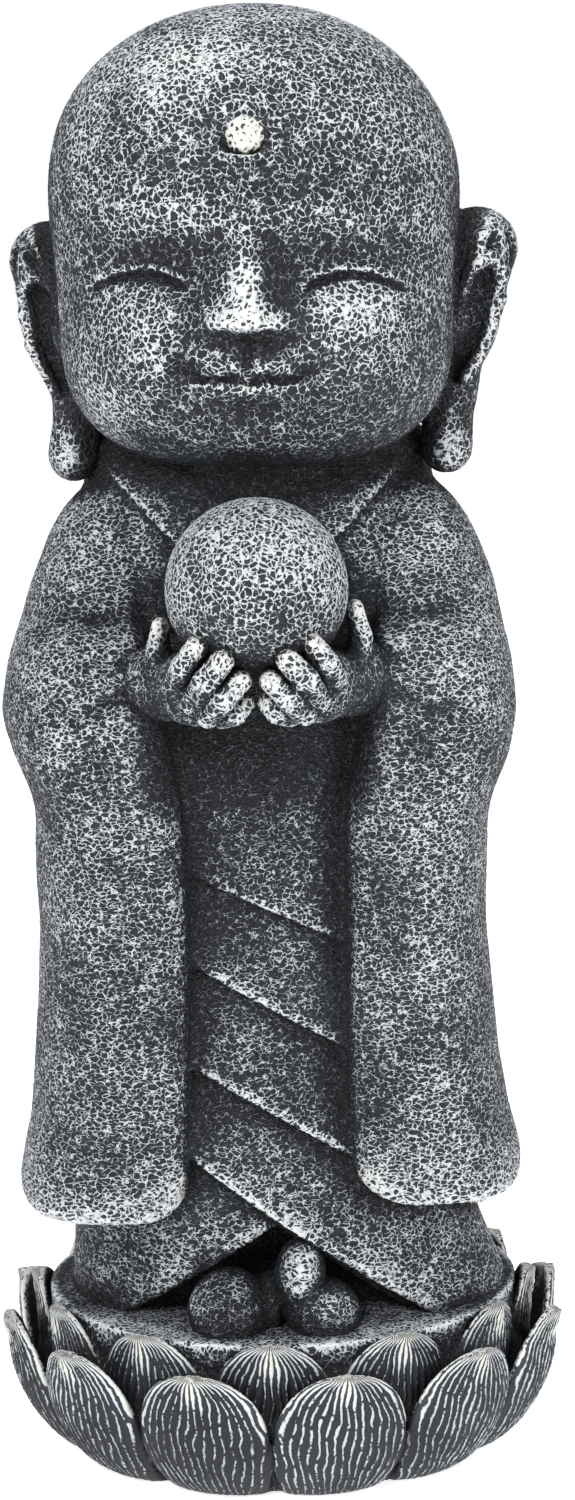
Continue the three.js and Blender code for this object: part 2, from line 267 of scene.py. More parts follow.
def pebble(centre, radii, tilt=0.0):
    """An ellipsoid, turned about the Y axis."""
    c, s = math.cos(math.radians(tilt)), math.sin(math.radians(tilt))

    def shape(x, y, z):
        dx, dy, dz = x - centre[0], y - centre[1], z - centre[2]
        u, w = dx * c - dz * s, dx * s + dz * c
        parts = list(zip((u, dy, w), radii))
        reach = np.sqrt(sum((part / radius) ** 2 for part, radius in parts)) + TINY
        slope = np.sqrt(sum((part / radius ** 2) ** 2 for part, radius in parts)) + TINY
        return reach * (reach - 1) / slope

    return shape


def add_limb(form, start, end, start_radius, end_radius, blend=0.6):
    margin = max(start_radius, end_radius) + 3
    low = np.minimum(start, end) - margin
    high = np.maximum(start, end) + margin
    form.add(low, high, limb(start, end, start_radius, end_radius), blend)


def add_pebble(form, centre, radii, tilt=0.0, blend=0.6):
    margin = max(radii) + 3
    form.add(np.array(centre) - margin, np.array(centre) + margin, pebble(centre, radii, tilt), blend)


def cut_pebble(form, centre, radii, tilt=0.0, blend=0.6):
    margin = max(radii) + 3
    form.cut(np.array(centre) - margin, np.array(centre) + margin, pebble(centre, radii, tilt), blend)


def rounding(u, v, power):
    """1 on a rounded rectangle of half sizes 1; a higher power makes squarer corners."""
    return (np.abs(u) ** power + np.abs(v) ** power) ** (1 / power)


def line_gap(x, z, points):
    """Distance from places in the front view to a line through points, and the share along it."""
    points = np.array(points, dtype=np.float32)
    lengths = np.hypot(*np.diff(points, axis=0).T)
    starts = np.concatenate([[0], np.cumsum(lengths)]) / lengths.sum()
    best = np.full(np.broadcast(x, z).shape, 999.0, dtype=np.float32)
    along = np.zeros_like(best)
    for i, (a, b) in enumerate(zip(points[:-1], points[1:])):
        d = b - a
        t = np.clip(((x - a[0]) * d[0] + (z - a[1]) * d[1]) / (d @ d), 0, 1)
        gap = np.hypot(x - a[0] - t * d[0], z - a[1] - t * d[1])
        nearer = gap < best
        best = np.where(nearer, gap, best)
        along = np.where(nearer, mix(starts[i], starts[i + 1], t), along)
    return best, along


def crease(x, z, points, depth, width, taper=0.25):
    """A groove along a line in the front view, fading at both ends."""
    gap, along = line_gap(x, z, points)
    fade = smooth(0, taper, along) * smooth(1, 1 - taper, along)
    return -depth * fade * np.exp(-((gap / width) ** 2))


def ring_line(rings, column, z, soften=5.0):
    """One column of a ring table at many heights, with its corners rounded off."""
    offsets = np.linspace(-soften, soften, 9)
    values = [np.interp(z + offset, rings[:, 0], rings[:, column]) for offset in offsets]
    return np.mean(values, axis=0).astype(np.float32)


def sway(z):
    """How far the body stands to one side of the base's middle."""
    return SWAY * smooth(SWAY_FROM, SWAY_TO, z)


# ---------------------------------------------------------------- head


EYE = dict(inner=15.0, outer=43.0, height=331.7, rise=5.0)
MOUTH = ((0, 307.9), (1.8, 308.8), (3.8, 309.7), (8, 308.9), (12.4, 309.2), (14.6, 310.6))
PHILTRUM = ((0, 320), (0, 311.2))

# Mounds and dents of the face: push, place across, height, width, tallness.
CHEEKS_AND_BROWS = (
    (4.6, 31, 313, 15, 16),
    (2.6, 0, 309, 14, 9),
    (4.4, 0, 290, 14, 8),
    (1.8, 23, 352, 18, 7),
    (-2.6, 24, 341, 14, 8),
    (-1.6, 18, 312, 4, 5),
    (1.2, 27, 327, 12, 4.5),
)
NOSE_TIP = ((2.4, 0, 326.4, 5.2, 4.8), (2.0, 7.4, 324.4, 3.2, 3.4))
LIPS = (
    (0.9, 6.5, 312.4, 5, 2.2),
    (1.0, 0, 309.9, 1.6, 1.8),
    (1.0, 0, 305.2, 6.5, 2.6),
    (0.2, 7, 306.6, 5, 2),
    (-1.3, 0, 300.8, 6.5, 3.0),
    (-1.3, 15.2, 310.8, 2.0, 2.0),
    (0.5, 2.9, 315, 1.3, 5),
)


def eye_line(lift=0.0):
    """The closed eye from its inner to its outer end, as a skewed arch."""
    t = np.linspace(0, 1, 14)
    skewed = t ** 0.85
    x = mix(EYE["inner"], EYE["outer"], t)
    z = EYE["height"] + EYE["rise"] * 4 * skewed * (1 - skewed) + lift
    return list(zip(x, z))


def face_place(x, z):
    """Face coordinates: across from its middle, and level along the eyes and mouth."""
    x = x - FACE_SHIFT
    return np.abs(x), z + FACE_TILT * x


def mounds(across, level, table):
    return sum(push * bump(across, level, *place) for push, *place in table)


def face_relief(x, z):
    """Soft and fine forms of the face in the front view, as a push towards the front."""
    a, z = face_place(x, z)
    bridge_width = mix(4.6, 8.8, smooth(346, 325, z))
    bridge_push = (1.6 + 5.8 * smooth(350, 327, z)) * smooth(360, 344, z)
    bridge = bridge_push * np.exp(-((a / bridge_width) ** 2))
    nose = (bridge + mounds(a, z, NOSE_TIP)) * smooth(319.8, 323.6, z)
    lid_gap, lid_along = line_gap(a, z, eye_line(1.9))
    lid = 0.75 * np.exp(-((lid_gap / 1.2) ** 2)) * smooth(0, 0.2, lid_along) * smooth(1, 0.75, lid_along)
    mouth_gap, mouth_along = line_gap(a, z, MOUTH)
    smile = -2.0 * np.exp(-((mouth_gap / 1.05) ** 2)) * smooth(1.02, 0.9, mouth_along)
    furrow_gap, _ = line_gap(a, z, PHILTRUM)
    furrow = -1.2 * np.exp(-((furrow_gap / 1.3) ** 2))
    eye = crease(a, z, eye_line(), 2.0, 1.0, 0.14)
    return mounds(a, z, CHEEKS_AND_BROWS) + nose + mounds(a, z, LIPS) + lid + smile + furrow + eye


def skull(x, y, z):
    """The round head with its face, and flatter sides and jaw than crown."""
    front = smooth(0, -40, y)
    pushed = y + face_relief(x, z) * front
    over = np.clip((z - TEMPLE) / (CROWN - TEMPLE), 0, None)
    under = np.clip((CHEEK - z) / (CHEEK - CHIN), 0, None)
    half_width = mix(CHEEK_HALF, TEMPLE_HALF, smooth(CHEEK, TEMPLE, z))
    x = x - CROWN_LEAN * smooth(362, 388, z)
    nape = 1 - NAPE_TUCK * np.clip((TEMPLE - z) / (TEMPLE - CHIN), 0, 1) ** 2
    half_depth = np.where(y > 0, HALF_DEPTH * nape, HALF_DEPTH)
    level = rounding(x / half_width, pushed / half_depth, HEAD_POWER)
    power = np.where(z > (TEMPLE + CHEEK) / 2, CROWN_POWER, JAW_POWER)
    reach = rounding(level, over + under, power) + TINY
    rise = z - np.clip(z, CHEEK, TEMPLE)
    return np.sqrt(x * x + pushed * pushed + rise * rise) * (1 - 1 / reach)


def face_front(form, x, z):
    """Where the surface lies in front of a place, as a Y value, or None where there is none."""
    i = int(round((x - form.low[0]) / form.step))
    k = int(round((z - form.low[2]) / form.step))
    inside = form.field[i, :, k] < 0
    return float(form.lines[1][np.argmax(inside)]) if inside.any() else None


# Ears in the head's own frame, measured outwards: the spine of each, as place, height and radius.
EAR_DEPTH = 5.0
EAR_FLATNESS = 0.86
EAR_SPINES = {
    -1: ((58.4, 340.5, 11.0), (55.6, 320, 8.4), (51.4, 303, 6.0), (53.0, 286, 7.4)),
    1: ((61.8, 341.5, 11.2), (57.0, 320, 9.0), (53.4, 303, 6.8), (52.4, 286, 7.2)),
}
# Ridges and hollows on the front of an ear, as outward place and height on the +X one.
ANTIHELIX = (
    (61.0, 336.5), (65.2, 339.0), (68.6, 334.5), (67.8, 327), (65.2, 319), (61.6, 311.5), (57.6, 305.5),
)
HELIX_ROOT = ((67.6, 352.0), (64.4, 347.0), (62.0, 341.0), (59.4, 335.0), (57.2, 328.0))
CONCHA = ((62.6, 331.5), (60.6, 321.0), (56.4, 309.0))
SCAPHA = ((70.6, 345.0), (71.4, 338.0), (70.0, 329.0))
FOSSA = (65.4, 343.6)
TRAGUS = (55.6, 322.0)


def ear_point(side, point):
    """Moves a place on the +X ear onto either ear."""
    shift = 0.0 if side > 0 else -3.6 * smooth(300, 345, point[1])
    return side * (point[0] + shift), point[1] - (0.0 if side > 0 else 1.5)


def front_limbs(form, side, line, radius, depth):
    """The limbs of a round ridge or groove that runs along the front of an ear."""
    points = []
    for point in line:
        x, z = ear_point(side, point)
        front = face_front(form, x, z)
        if front is not None:
            points.append((x, front + depth, z))
    for start, end in zip(points[:-1], points[1:]):
        yield start, end, radius


def ear_blade(form, side):
    """A plain flattened ear, from its spine."""
    ear = form.blank()
    for (x0, z0, r0), (x1, z1, r1) in zip(EAR_SPINES[side][:-1], EAR_SPINES[side][1:]):
        lower = (side * x0, EAR_DEPTH, z0)
        upper = (side * x1, EAR_DEPTH, z1)
        margin = max(r0, r1) + 7
        middle = EAR_DEPTH * EAR_FLATNESS
        cone = limb((lower[0], middle, z0), (upper[0], middle, z1), r0, r1)

        def flattened(x, y, z, cone=cone):
            return cone(x, y * EAR_FLATNESS, z)

        ear.add(np.minimum(lower, upper) - margin, np.maximum(lower, upper) + margin, flattened, 5.0)
    return ear


def add_ear(form, side):
    """An ear with its bowl, ridges and dips, set into the side of the head."""
    ear = ear_blade(form, side)
    hollow = list(front_limbs(ear, side, CONCHA, 5.2, 0.5))
    ridges = [*front_limbs(ear, side, ANTIHELIX, 1.8, 0.9), *front_limbs(ear, side, HELIX_ROOT, 1.6, 0.7)]
    dips = list(front_limbs(ear, side, SCAPHA, 1.7, -0.4))
    fossa_x, fossa_z = ear_point(side, FOSSA)
    fossa_y = face_front(ear, fossa_x, fossa_z)
    for start, end, radius in hollow + dips:
        low = np.minimum(start, end) - radius - 3
        high = np.maximum(start, end) + radius + 3
        ear.cut(low, high, limb(start, end, radius, radius * 0.9), 1.2)
    cut_pebble(ear, (fossa_x, fossa_y, fossa_z), (2.6, 2.2, 4.0), side * 12, 1.0)
    for start, end, radius in ridges:
        add_limb(ear, start, end, radius, radius * 0.9, 1.2)
    form.field = fuse(form.field, ear.field, 2.0)
    tragus_x, tragus_z = ear_point(side, TRAGUS)
    add_pebble(form, (tragus_x, -3.0, tragus_z), (3.6, 5, 6.2), side * 6, 1.5)


def head_form(step):
    form = Form((-78, -74, 272), (79, 54, CROWN + 2), step)
    form.field = skull(form.x, form.y, form.z).astype(np.float32)
    for side in SIDES:
        nostril = side * NOSTRIL[0] + FACE_SHIFT
        nose_front = face_front(form, nostril, NOSTRIL[1] + 2.2)
        cut_pebble(form, (nostril, nose_front + 1.4, NOSTRIL[1]), (3.1, 3.0, 1.7), side * -6, 0.9)
    dot_front = face_front(form, 0, DOT_HEIGHT)
    cut_pebble(form, (0, dot_front, DOT_HEIGHT), (6.7, 1.7, 6.7), 0, 0.4)
    add_pebble(form, (0, dot_front + 1.4, DOT_HEIGHT), (5.3, 2.9, 5.3), 0, 0.2)
    for side in SIDES:
        add_ear(form, side)
    return form


# ---------------------------------------------------------------- robe, sleeves and feet


def robe_core(x, y, z, relief=0.0):
    """The body under the sleeves, lofted through its rings."""
    line = z.ravel()
    half = ring_line(ROBE_RINGS, 1, line)[None, None, :]
    front = ring_line(ROBE_RINGS, 2, line)[None, None, :]
    back = ring_line(ROBE_RINGS, 3, line)[None, None, :]
    dx = x - sway(z)
    dy = y - (front + back) / 2 + relief
    deep = (back - front) / 2
    reach = rounding(dx / half, dy / deep, ROBE_POWER) + TINY
    return np.sqrt(dx * dx + dy * dy) * (1 - 1 / reach)


def back_folds(x, z):
    """Shallow hanging folds on the back of the robe, deeper towards the hem."""
    depth = 1.6 * smooth(235, 90, z) + 0.5
    spread = 0.004 * (z - 150) * x / FOLD_WIDTH
    return -depth * (0.5 + 0.5 * np.cos(x / FOLD_WIDTH + spread)) * smooth(250, 225, z)


def robe_body(x, y, z):
    """The body with its hanging folds behind and its crossed wraps in front, each over the next."""
    dx = x - sway(z)
    body = robe_core(x, y, z, back_folds(dx, z) * smooth(10, 24, y))
    before = smooth(6, -8, y)
    whole = body
    above_edge, above_slope = WRAP_TOP, WRAPS[0][1]
    for i, (edge, slope) in enumerate(WRAPS):
        line = edge + slope * dx
        upper = above_edge + above_slope * dx + 3
        rise = np.clip((z - line) / np.maximum(upper - line, 4), 0, 1)
        lift = mix(WRAP_LIFT + 0.9 * i, 0.2, rise) * before
        layer = keep(body - lift, (line - z) / math.hypot(1, slope), 1.0)
        layer = np.maximum(layer, z - upper)
        whole = np.minimum(whole, layer)
        above_edge, above_slope = edge, slope
    return whole


LAPEL_OUTER = ((3, 244), (43, 284))
LAPEL_INNER = ((-9, 257), (21, 286))
LAPEL_THICKNESS = 2.6
THROAT_DEPTH = 9


def past_line(across, z, line):
    """How far a place of the front view lies below and outside a line."""
    (x0, z0), (x1, z1) = line
    nx, nz = (z1 - z0), -(x1 - x0)
    return ((across - x0) * nx + (z - z0) * nz) / math.hypot(nx, nz)


def lapel(side):
    def shape(x, y, z):
        across = (x - sway(z)) * side
        outside = np.maximum(past_line(across, z, LAPEL_OUTER), -past_line(across, z, LAPEL_INNER))
        return keep(robe_core(x, y, z) - LAPEL_THICKNESS, outside, 1.4)

    return shape


def throat(x, y, z):
    """The open neck between the lapels."""
    inside = past_line(np.abs(x - sway(z)), z, LAPEL_INNER)
    body = robe_core(x, y, z)
    return np.maximum(inside, np.abs(body) - THROAT_DEPTH)


def collar(form):
    form.cut((-32, -48, 262), (28, 10, 292), throat, 1.0)
    for side in SIDES:
        form.add((-60, -48, 240), (56, 8, 292), lapel(side), 0.8)


# Creases of an arm and sleeve in the front view: depth, width, and the line, measured outwards.
ARM_CREASES = (
    (0.9, 2.2, ((30, 236), (40, 231), (52, 229), (64, 232))),
    (1.2, 2.4, ((33, 226), (45, 219), (58, 214))),
    (0.8, 1.6, ((34, 240), (45, 243), (58, 245))),
    (0.9, 3.0, ((38, 214), (48, 204), (60, 198))),
)


def sleeve_relief(dx, z):
    """The creases at the elbow and the long soft folds of the sleeve below it."""
    creases = sum(crease(dx, z, line, depth, width) for depth, width, line in ARM_CREASES)
    long_folds = 0.5 * np.cos((dx - 42) / 4.6) * smooth(200, 120, z)
    return creases + long_folds


def rounded_end(gap, width, height):
    """How high a hem has risen at a distance from its corner."""
    t = np.clip(1 - gap / width, 0, 1)
    return height * (1 - np.sqrt(1 - t * t * 0.999))


def sleeve(side):
    """A long wide sleeve, squarer at its inner front edge, with a shallow hollow under its hem."""
    fullness, hem_shape = (RIGHT_FULLNESS, RIGHT_HEM) if side > 0 else (LEFT_FULLNESS, LEFT_HEM)
    fullness = np.array(fullness, dtype=float)
    inner_trim = np.array(RIGHT_INNER if side > 0 else LEFT_INNER, dtype=float)

    def shape(x, y, z):
        line = z.ravel()
        inner = ring_line(SLEEVE_RINGS, 1, line, 3.0) + ring_line(inner_trim, 1, line, 4.0)
        outer = ring_line(SLEEVE_RINGS, 2, line, 4.0) + ring_line(fullness, 1, line, 3.0)
        inner, outer = inner[None, None, :], outer[None, None, :]
        front = ring_line(SLEEVE_RINGS, 3, line, 2.5)[None, None, :]
        back = ring_line(SLEEVE_RINGS, 4, line, 5.0)[None, None, :]
        dx = (x - sway(z)) * side
        before = smooth(0, -20, y)
        dy = y - (front + back) / 2 + sleeve_relief(dx, z) * before
        u = (dx - (inner + outer) / 2) / ((outer - inner) / 2)
        v = dy / ((back - front) / 2)
        corner = (u < 0) & (v < 0)
        reach = np.where(corner, rounding(u, v, SLEEVE_CORNER), rounding(u, v, SLEEVE_ROUND)) + TINY
        across = dx - (inner + outer) / 2
        wall = np.sqrt(across * across + dy * dy) * (1 - 1 / reach)
        hem = (
            hem_shape["low"]
            + rounded_end(dx - inner, *hem_shape["inner"])
            + rounded_end(outer - dx, *hem_shape["outer"])
        )
        solid = keep(wall, (hem - z) * 0.85, 1.6)
        hollow = np.maximum(wall + 4.5, z - hem - 9)
        return keep(solid, -hollow, 1.2)

    return shape


def opening(x, y, z):
    """The tent-shaped parting of the hem, over the feet."""
    dx = x - sway(60.0)
    apex = OPENING["apex"]
    rise = apex - DISC_TOP
    left = math.hypot(rise, OPENING["left"])
    right = math.hypot(rise, OPENING["right"])
    below_left = ((z - apex) * -OPENING["left"] - dx * rise) / left
    below_right = ((z - apex) * OPENING["right"] + dx * rise) / right
    return np.maximum(np.maximum(below_left, below_right), y - OPENING["back"])


FEET = (  # middle, radii and tilt of each round part
    ((-15.2, -46, 48.5), (11.5, 16, 11.6), -10),
    ((4.8, -45, 58.5), (7.0, 13, 10.4), 10),
    ((11.0, -47, 48), (10.8, 15, 9.2), 12),
    ((-3.4, -42, 49), (4.2, 11, 9), 0),
)


def robe_form(step):
    form = Form((-80, -60, 41), (76, 52, 300), step)
    form.field = robe_body(form.x, form.y, form.z).astype(np.float32)
    form.field = keep(form.field, form.z - SHOULDER_TOP, 2)
    form.field = keep(form.field, HEM - form.z, 0.6)
    collar(form)
    form.cut((-60, -60, 41), (56, -20, 84), opening, 1.2)
    form.add((-80, -60, 66), (0, 40, 290), sleeve(-1), 1.6)
    form.add((-6, -60, 66), (76, 40, 290), sleeve(1), 1.6)
    add_limb(form, *NECK, 2.0)
    low, high, low_radius, high_radius = NAPE
    for side in SIDES:
        start, end = ((side * x + NECK[0][0], y, z) for x, y, z in (low, high))
        add_limb(form, start, end, low_radius, high_radius, 3.0)
    for place, radii, tilt in FEET:
        add_pebble(form, place, radii, tilt, 0.8)
    form.field = keep(form.field, HEM - form.z, 0.6)
    return form


# ---------------------------------------------------------------- hands and ball

HANDS_MIDDLE = -3.4
# The +X hand, from the middle between the hands: knuckle, joint, tip and radius of each finger.
FINGERS = (
    ((21.6, -66, 228.3), (19.2, -71.5, 234.2), (15.2, -72, 239.8), 3.3),
    ((16.6, -69, 224.4), (13.4, -75, 230.6), (8.6, -75, 236.2), 3.5),
    ((12.8, -69.5, 220.9), (8.8, -74.5, 225.6), (3.9, -73, 230.6), 3.2),
    ((9.0, -66.5, 219.9), (5.6, -70, 221.3), (3.0, -68, 224.0), 2.9),
)
# Middle, radii and tilt.
PALM = ((16.0, -60.5, 227.5), (10.5, 10, 10.5), 24)
WRIST = ((34, -34, 226), (19.5, -54, 226.5))
THUMBS = {
    -1: ((26.6, -50, 229), (26.2, -53, 237), (25.2, -55, 243.4)),
    1: ((27.4, -50, 229), (28.6, -53, 239), (27.0, -55, 247.0)),
}


def on_hand(side, point):
    """Moves a place on the +X hand onto either hand."""
    return (side * point[0] + HANDS_MIDDLE, point[1], point[2])


def hands_form(step):
    form = Form((-50, -84, 212), (43, -24, 282), step)
    for side in SIDES:
        add_limb(form, on_hand(side, WRIST[0]), on_hand(side, WRIST[1]), 11, 9, 2)
        centre, radii, tilt = PALM
        add_pebble(form, on_hand(side, centre), radii, side * tilt, 3)
        for knuckle, joint, tip, radius in FINGERS:
            finger = form.blank()
            add_limb(finger, on_hand(side, knuckle), on_hand(side, joint), radius, radius, 0.4)
            add_limb(finger, on_hand(side, joint), on_hand(side, tip), radius, radius * 0.9, 0.4)
            form.field = fuse(form.field, finger.field, 0.5)
        root, joint, tip = (on_hand(side, point) for point in THUMBS[side])
        add_limb(form, root, joint, 3.8, 3.0, 2)
        add_limb(form, joint, tip, 3.0, 2.4, 1)
    add_pebble(form, (SWAY, BALL["y"], BALL["z"]), (BALL["radius"],) * 3, 0, 0.5)
    return form


# ---------------------------------------------------------------- lotus base


def petal_breadth(up):
    """A petal's width at a share of its height, where 1 is its widest."""
    foot = mix(0.66, 1.0, np.sin(math.pi / 2 * np.clip(up / PETAL_WIDEST, 0, 1)))
    t = np.clip((up - PETAL_WIDEST) / (1 - PETAL_WIDEST), 0, 1)
    blade = np.sqrt(np.maximum(1 - t ** 2.6, TINY))
    return np.where(up < PETAL_WIDEST, foot, blade)


def petal_place(kind, degrees, x, y, z):
    """A place seen from a petal: share of its half width, half width, share of its height, how far
    outside its middle skin, and how far out from the statue's axis."""
    turn = math.radians(degrees)
    across = x * math.cos(turn) + y * math.sin(turn)
    radial = x * math.sin(turn) - y * math.cos(turn)
    up = np.clip((z + 2) / (kind["tip_height"] + 2), 0, 1.0)
    half = kind["width"] / 2 * petal_breadth(up)
    profile = mix(kind["foot"], kind["tip"], np.sin(math.pi / 2 * up) ** PETAL_RISE)
    centre = np.exp(-((across / 5.5) ** 2))
    curl = kind["curl"] * smooth(0.8, 1.0, up) * (0.4 + 0.6 * centre)
    out = radial - (profile - PETAL_BEND * across * across + curl)
    return across / half, half, up, out, radial


def rib_phase(share, up):
    """Counts the raised lines across a petal; they run together at its tip."""
    return share * RIBS + 0.3 * np.sin(5.0 * up + 2.3 * share) + 0.16 * np.sin(17 * up + 9 * share)


def petal(kind, degrees):
    """One cupped petal with raised lines, a rim and a thick tip on its outer face."""
    def shape(x, y, z):
        share, half, up, out, radial = petal_place(kind, degrees, x, y, z)
        ridge = (0.5 + 0.5 * np.cos(2 * math.pi * rib_phase(share, up))) ** 2
        rim = smooth(0.86, 0.97, np.abs(share)) + smooth(0.93, 0.99, up)
        tip = np.exp(-((share * half / (1.6 + 12 * (1 - up))) ** 2)) * smooth(0.72, 0.95, up)
        lines = np.maximum(0.6 * ridge * smooth(1.0, 0.9, up), 0.5 * np.minimum(rim, 1))
        raised = (lines + 0.9 * tip) * (out > 0)
        thick = kind["thickness"] / 2 * (0.5 + 0.5 * smooth(1.0, 0.5, up)) + raised
        reach = rounding(share, out / thick, PETAL_POWER) + TINY
        body = np.sqrt((share * half) ** 2 + out * out) * (1 - 1 / reach)
        return np.maximum(np.maximum(body, z - kind["tip_height"]), -radial)

    return shape


def petal_ring():
    """Every petal of the inner ring, then of the outer one that stands between them."""
    step = 360 / PETALS
    for i in range(PETALS):
        yield INNER_PETAL, FIRST_PETAL + (i + 0.5) * step
    for i in range(PETALS):
        yield OUTER_PETAL, FIRST_PETAL + i * step


def petal_box(kind, degrees):
    """Two corners of an upright box round a petal."""
    turn = math.radians(degrees)
    out = np.array([math.sin(turn), -math.cos(turn)])
    side = np.array([math.cos(turn), math.sin(turn)])
    reach = kind["width"] / 2 + 2
    edges = (kind["foot"] - 8, kind["tip"] + 6)
    corners = np.array([out * edge + side * end for edge in edges for end in (-reach, reach)])
    return np.append(corners.min(axis=0), -3), np.append(corners.max(axis=0), kind["tip_height"] + 2)


def lotus_form(step):
    block_half = 86
    form = Form((-block_half, -block_half, -1.5 * step), (block_half, block_half, DISC_TOP + 3), step)
    radius = np.sqrt(form.x ** 2 + form.y ** 2)
    heights, radii = np.array(CUP_PROFILE, dtype=float).T
    wall = np.interp(form.z.ravel(), heights, radii)[None, None, :]
    form.field = keep((radius - wall).astype(np.float32), form.z - DISC_TOP, 1.0)
    for kind, degrees in petal_ring():
        low, high = petal_box(kind, degrees)
        form.add(low, high, petal(kind, degrees), 0.5)
    form.field = np.maximum(form.field, UNDERSIDE - form.z)
    for axis in (form.x, form.y):
        form.field = np.maximum(form.field, np.abs(axis) - BASE_HALF)
    return form


def petal_marks(points):
    """For each point of the base: raised lines counted, on a petal's outer face or not, and paint."""
    phase = np.zeros(len(points), dtype=np.float32)
    on_petal = np.zeros(len(points), dtype=np.float32)
    cream = np.zeros(len(points), dtype=np.float32)
    best = np.full(len(points), 1.2, dtype=np.float32)
    x, y, z = points.T
    for kind, degrees in petal_ring():
        gap = np.abs(petal(kind, degrees)(x, y, z))
        share, half, up, out, _ = petal_place(kind, degrees, x, y, z)
        nearer = (gap < best) & (np.abs(share) < 1.15)
        best = np.where(nearer, gap, best)
        phase = np.where(nearer, rib_phase(share, up), phase)
        on_petal = np.where(nearer, (out > 0) * 1.0, on_petal)
        tip = np.exp(-((share * half / (1.4 + 11 * (1 - up))) ** 2)) * smooth(0.74, 0.92, up)
        side_rim = 0.7 * smooth(0.9, 1.0, np.abs(share)) * smooth(0.25, 0.6, up)
        rim = np.maximum(smooth(0.94, 1.0, up), side_rim)
        cream = np.where(nearer, np.maximum(tip, 0.8 * rim), cream)
    disc = smooth(67, 62, np.hypot(x, y)) * smooth(43, 44.5, z)
    return dict(rib_count=phase, petal_face=on_petal, cream=cream, bare_and_painted_shade=-0.4 * disc)


# ---------------------------------------------------------------- skins


def mesh_from(name, points, faces):
    """A mesh in metres from points in millimetres and faces with equally many corners."""
    mesh = bpy.data.meshes.new(name)
    count, corners = faces.shape
    mesh.vertices.add(len(points))
    mesh.vertices.foreach_set("co", (points * MM).astype(np.float32).ravel())
    mesh.loops.add(count * corners)
    mesh.loops.foreach_set("vertex_index", faces.astype(np.int32).ravel())
    mesh.polygons.add(count)
    mesh.polygons.foreach_set("loop_start", np.arange(0, count * corners, corners, dtype=np.int32))
    mesh.update(calc_edges=True)
    return mesh


def signed_volume(points, faces):
    """Above 0 when the faces turn outwards; only its sign is used."""
    a, b, c = (points[faces[:, i]] for i in (0, 1, 2))
    return float(np.einsum("ij,ij->i", a, np.cross(b, c)).sum())


def skin(form):
    """The surface of a field, as points and four-sided faces that face outwards."""
    band = form.step * 4
    grid = openvdb.FloatGrid(band)
    grid.copyFromArray(np.clip(form.field, -band, band).astype(np.float32))
    points, quads = grid.convertToQuads(0.0)
    points = points.astype(np.float64) * form.step + form.low
    quads = quads.astype(np.int64)
    if signed_volume(points, quads) < 0:
        quads = quads[:, ::-1]
    return points, quads


def apply_modifiers(piece):
    """Makes the modified shape the piece's own mesh."""
    graph = bpy.context.evaluated_depsgraph_get()
    made = bpy.data.meshes.new_from_object(piece.evaluated_get(graph))
    old = piece.data
    piece.modifiers.clear()
    piece.data = made
    bpy.data.meshes.remove(old)


def points_of(mesh):
    flat = np.empty(len(mesh.vertices) * 3, dtype=np.float32)
    mesh.vertices.foreach_get("co", flat)
    return flat.reshape(-1, 3) / MM


def normals_of(mesh):
    flat = np.empty(len(mesh.vertices) * 3, dtype=np.float32)
    mesh.vertex_normals.foreach_get("vector", flat)
    return flat.reshape(-1, 3)


def write_mark(mesh, name, values):
    mark = mesh.attributes.new(name, "FLOAT", "POINT")
    mark.data.foreach_set("value", values.astype(np.float32))


def soften(grid, radius):
    """Mean of a grid over a cube, by running sums along each axis."""
    for axis in range(3):
        width = 2 * radius + 1
        pads = [(0, 0)] * 3
        pads[axis] = (radius + 1, radius)
        sums = np.cumsum(np.pad(grid, pads, mode="edge"), axis=axis, dtype=np.float64)
        top = [slice(None)] * 3
        bottom = [slice(None)] * 3
        top[axis] = slice(width, None)
        bottom[axis] = slice(None, -width)
        grid = ((sums[tuple(top)] - sums[tuple(bottom)]) / width).astype(np.float32)
    return grid


def fullness(form):
    """1 inside a form, 0 outside it, and between them at its skin."""
    return np.clip(0.5 - form.field / form.step, 0, 1)


def roundness(form, points, reach):
    """Above 0 where the skin bulges at a given scale in millimetres, below 0 where it is hollow."""
    cells = max(1, int(round(reach / 2 / form.step)))
    near = soften(soften(fullness(form), cells), cells)
    return 0.5 - sample_grid(near, form.low, form.step, points, 0.5)


def dabs(points, spots):
    """Brush dabs of cream paint, a few of them also a painted highlight: place, radii and strength of each.
    """
    cream = np.zeros(len(points), dtype=np.float32)
    for place, radii, strength in spots:
        gap = (((points - np.array(place)) / np.array(radii)) ** 2).sum(axis=1)
        cream = np.maximum(cream, strength * np.exp(-gap))
    return cream


def strokes(points, line, radius, strength):
    """Cream paint along a line through points in space."""
    cream = np.zeros(len(points), dtype=np.float32)
    x, y, z = points.T
    for start, end in zip(line[:-1], line[1:]):
        gap = limb(start, end, 0.0, 0.0)(x, y, z)
        cream = np.maximum(cream, strength * np.exp(-((gap / radius) ** 2)))
    return cream


def whole_fullness(forms, step=2.0):
    """Where the whole statue is stone, on one coarse grid: the grid, its low corner and its step."""
    low = np.array([-92.0, -92.0, -12.0])
    high = np.array([92.0, 66.0, CROWN + 12])
    lines = [np.arange(a, b, step) for a, b in zip(low, high)]
    grid = np.zeros([len(line) for line in lines], dtype=np.float32)
    for form, shift in forms:
        places = np.stack(np.meshgrid(*lines, indexing="ij"), axis=-1).reshape(-1, 3) - shift
        top = form.low + np.array([line[-1] - line[0] for line in form.lines])
        inside = np.all((places > form.low) & (places < top), axis=1)
        values = np.zeros(len(places), dtype=np.float32)
        values[inside] = np.clip(0.5 - form.sample(places[inside]) / step, 0, 1)
        grid = np.maximum(grid, values.reshape(grid.shape))
    return grid, low, step


# ---------------------------------------------------------------- stone


